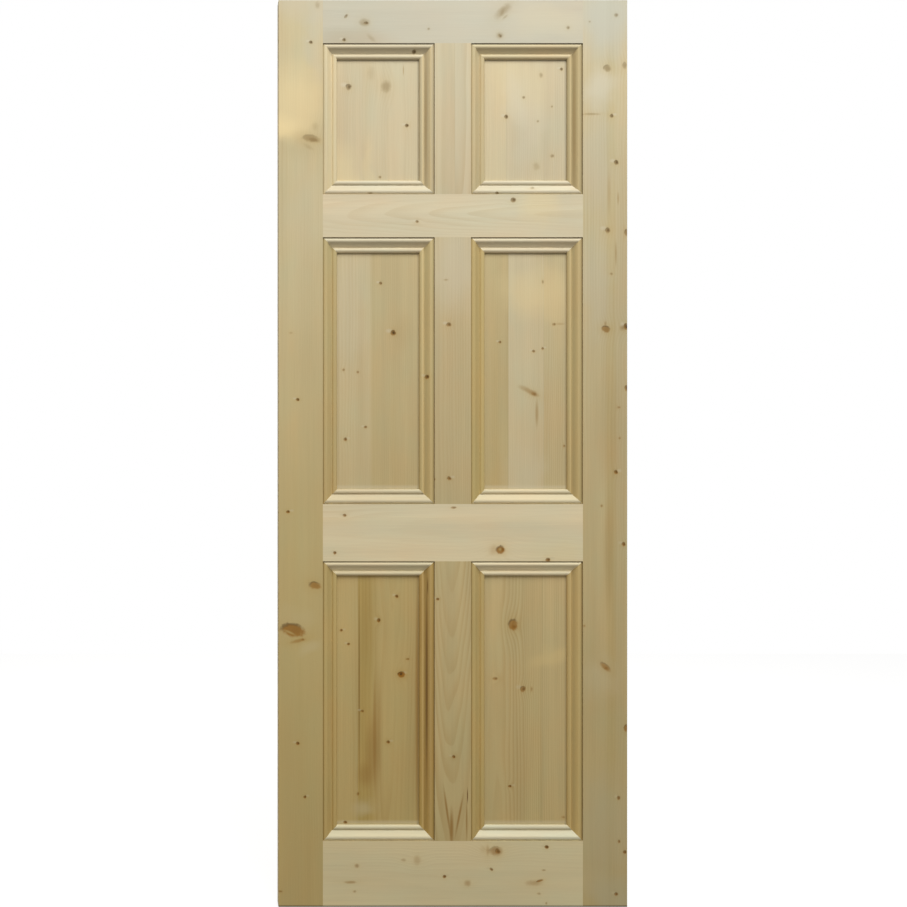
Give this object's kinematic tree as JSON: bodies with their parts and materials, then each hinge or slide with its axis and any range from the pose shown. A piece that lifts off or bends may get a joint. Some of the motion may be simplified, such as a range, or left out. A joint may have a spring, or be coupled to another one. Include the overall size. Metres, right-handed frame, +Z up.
{
  "type": "six-panel door",
  "caption": "Bare softwood door leaf, framed and panelled, with an ogee and bead moulding round each flat panel on both faces.",
  "frame": {"origin": "on the hinge edge of the leaf, at mid-thickness, at the bottom", "axes": "+Z up the leaf, +X across it from the hinge edge to the lock edge, +Y through it from the front face to the back"},
  "size_m": [0.762, 0.044, 1.981],
  "materials": {
    "stile_wood": "bare planed pine with grain up the leaf",
    "rail_wood": "bare planed pine with grain across the leaf",
    "muntin_wood": "bare planed pine with grain up the leaf",
    "panel_wood": "bare sanded pine, glued up from strips",
    "moulding_wood": "bare machined pine with grain along each strip"
  },
  "bodies": {
    "root": {"bottom_left_moulding_foot": "moulding_wood", "bottom_left_moulding_head": "moulding_wood", "bottom_left_moulding_left": "moulding_wood", "bottom_left_moulding_right": "moulding_wood", "bottom_left_panel": "panel_wood", "bottom_muntin": "muntin_wood", "bottom_rail": "rail_wood", "bottom_right_moulding_foot": "moulding_wood", "bottom_right_moulding_head": "moulding_wood", "bottom_right_moulding_left": "moulding_wood", "bottom_right_moulding_right": "moulding_wood", "bottom_right_panel": "panel_wood", "frieze_rail": "rail_wood", "hinge_stile": "stile_wood", "lock_rail": "rail_wood", "lock_stile": "stile_wood", "middle_left_moulding_foot": "moulding_wood", "middle_left_moulding_head": "moulding_wood", "middle_left_moulding_left": "moulding_wood", "middle_left_moulding_right": "moulding_wood", "middle_left_panel": "panel_wood", "middle_muntin": "muntin_wood", "middle_right_moulding_foot": "moulding_wood", "middle_right_moulding_head": "moulding_wood", "middle_right_moulding_left": "moulding_wood", "middle_right_moulding_right": "moulding_wood", "middle_right_panel": "panel_wood", "top_left_moulding_foot": "moulding_wood", "top_left_moulding_head": "moulding_wood", "top_left_moulding_left": "moulding_wood", "top_left_moulding_right": "moulding_wood", "top_left_panel": "panel_wood", "top_muntin": "muntin_wood", "top_rail": "rail_wood", "top_right_moulding_foot": "moulding_wood", "top_right_moulding_head": "moulding_wood", "top_right_moulding_left": "moulding_wood", "top_right_moulding_right": "moulding_wood", "top_right_panel": "panel_wood"}
  },
  "joints": []
}
